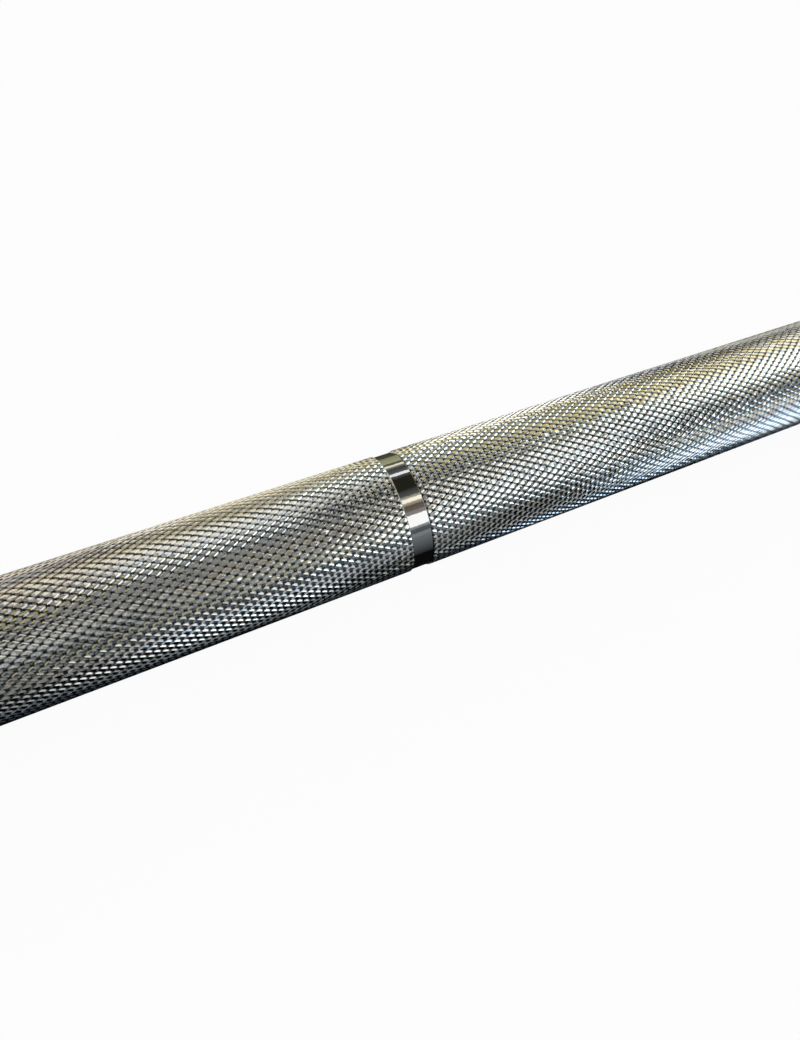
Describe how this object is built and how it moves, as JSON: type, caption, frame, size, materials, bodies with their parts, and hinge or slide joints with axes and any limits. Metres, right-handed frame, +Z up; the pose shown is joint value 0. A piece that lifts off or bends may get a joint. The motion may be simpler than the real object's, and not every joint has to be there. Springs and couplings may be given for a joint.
{
  "type": "safety squat bar",
  "caption": "Straight knurled weightlifting bar with turning plate sleeves and a clamped, padded shoulder yoke whose handles point forward.",
  "frame": {"origin": "on the floor, under the middle of the bounding box: midway between the sleeves, and midway between the back of the collars and the handle tips", "axes": "+X along the bar, +Y from the handles towards the lifter's back, +Z up; the bar lies on its collars and on the ends of its handles"},
  "size_m": [2.2, 0.4336, 0.1526],
  "materials": {
    "chrome": "polished",
    "satin_steel": "satin",
    "bronze": "satin",
    "black_steel": "satin",
    "black_coat": "satin",
    "leatherette": "satin",
    "foam": "matte",
    "rubber": "matte"
  },
  "bodies": {
    "shaft_and_yoke": {"shaft": "chrome", "inner_thrust_washer_left": "bronze", "inner_thrust_washer_right": "bronze", "outer_thrust_washer_left": "bronze", "outer_thrust_washer_right": "bronze", "shaft_ring_left": "black_steel", "shaft_ring_right": "black_steel", "clamp_saddle_left": "black_steel", "clamp_saddle_right": "black_steel", "clamp_cap_left": "black_steel", "clamp_cap_right": "black_steel", "clamp_screw_left_1": "black_steel", "clamp_screw_left_2": "black_steel", "clamp_screw_left_3": "black_steel", "clamp_screw_left_4": "black_steel", "clamp_screw_right_1": "black_steel", "clamp_screw_right_2": "black_steel", "clamp_screw_right_3": "black_steel", "clamp_screw_right_4": "black_steel", "yoke_arm_left": "black_coat", "yoke_arm_right": "black_coat", "handle_grip_left": "chrome", "handle_grip_right": "chrome", "grip_screw_left": "black_steel", "grip_screw_right": "black_steel", "handle_plug_left": "rubber", "handle_plug_right": "rubber", "shoulder_pad_left_cover": "leatherette", "shoulder_pad_right_cover": "leatherette", "shoulder_pad_left_foam": "foam", "shoulder_pad_right_foam": "foam", "neck_pad_cover": "leatherette", "neck_pad_foam": "foam"},
    "left_sleeve": {"sleeve_tube_left": "chrome", "sleeve_collar_left": "chrome", "inner_bushing_left": "bronze", "outer_bushing_left": "bronze", "end_cap_left": "satin_steel", "end_cap_ring_left": "black_steel"},
    "right_sleeve": {"sleeve_tube_right": "chrome", "sleeve_collar_right": "chrome", "inner_bushing_right": "bronze", "outer_bushing_right": "bronze", "end_cap_right": "satin_steel", "end_cap_ring_right": "black_steel"}
  },
  "joints": [
    {"name": "left_sleeve_spin", "type": "hinge", "parent": "shaft_and_yoke", "child": "left_sleeve", "pos_m": [-0.88, 0.17815, 0.03867], "axis": [1, 0, 0], "continuous": true},
    {"name": "right_sleeve_spin", "type": "hinge", "parent": "shaft_and_yoke", "child": "right_sleeve", "pos_m": [0.88, 0.17815, 0.03867], "axis": [1, 0, 0], "continuous": true}
  ]
}
